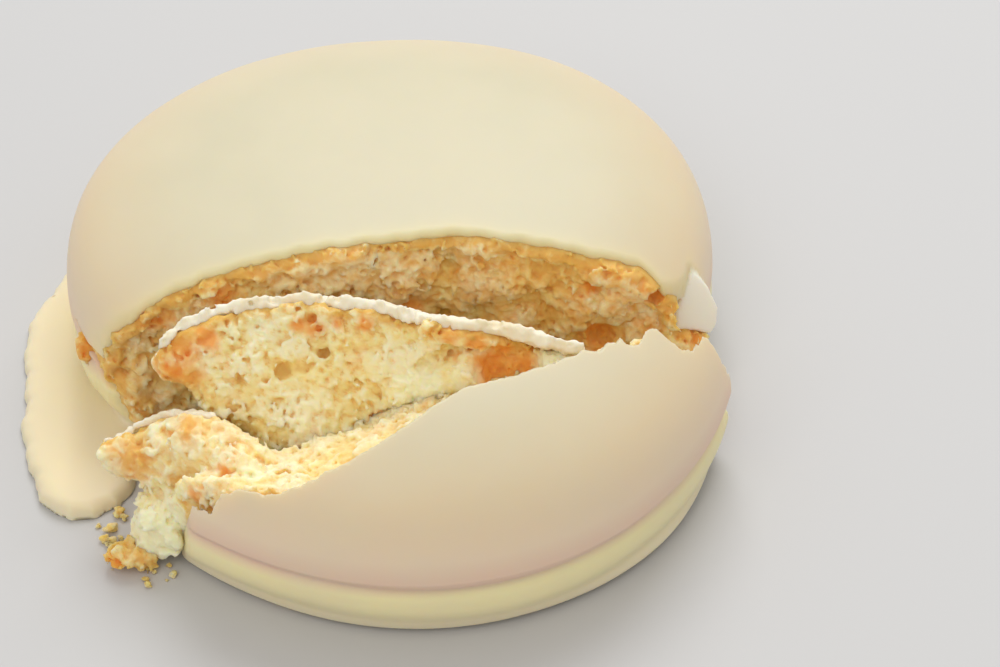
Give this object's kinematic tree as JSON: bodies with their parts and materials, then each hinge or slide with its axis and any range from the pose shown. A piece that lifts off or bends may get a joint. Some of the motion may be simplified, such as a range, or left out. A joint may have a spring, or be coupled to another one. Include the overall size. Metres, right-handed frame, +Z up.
{
  "type": "lemon cake",
  "caption": "Small round lemon sponge cake under smooth pale poured icing, cut across and broken open at the front to show its golden crumb.",
  "frame": {"origin": "on the underside, at the middle of the disc as it was before it was cut", "axes": "+Z up; +Y towards the uncut back of the cake; the open cut faces -Y, and +X is to the right seen from the front"},
  "size_m": [0.0807, 0.0851, 0.0253],
  "materials": {
    "icing": "satin",
    "sponge": "rough crumb"
  },
  "bodies": {
    "root": {"rear_icing": "icing", "rear_sponge": "sponge", "front_icing": "icing", "front_sponge": "sponge", "lobe_icing": "icing", "tipped_strip": "sponge", "tipped_strip_icing": "icing", "fallen_crumb": "sponge"}
  },
  "joints": []
}
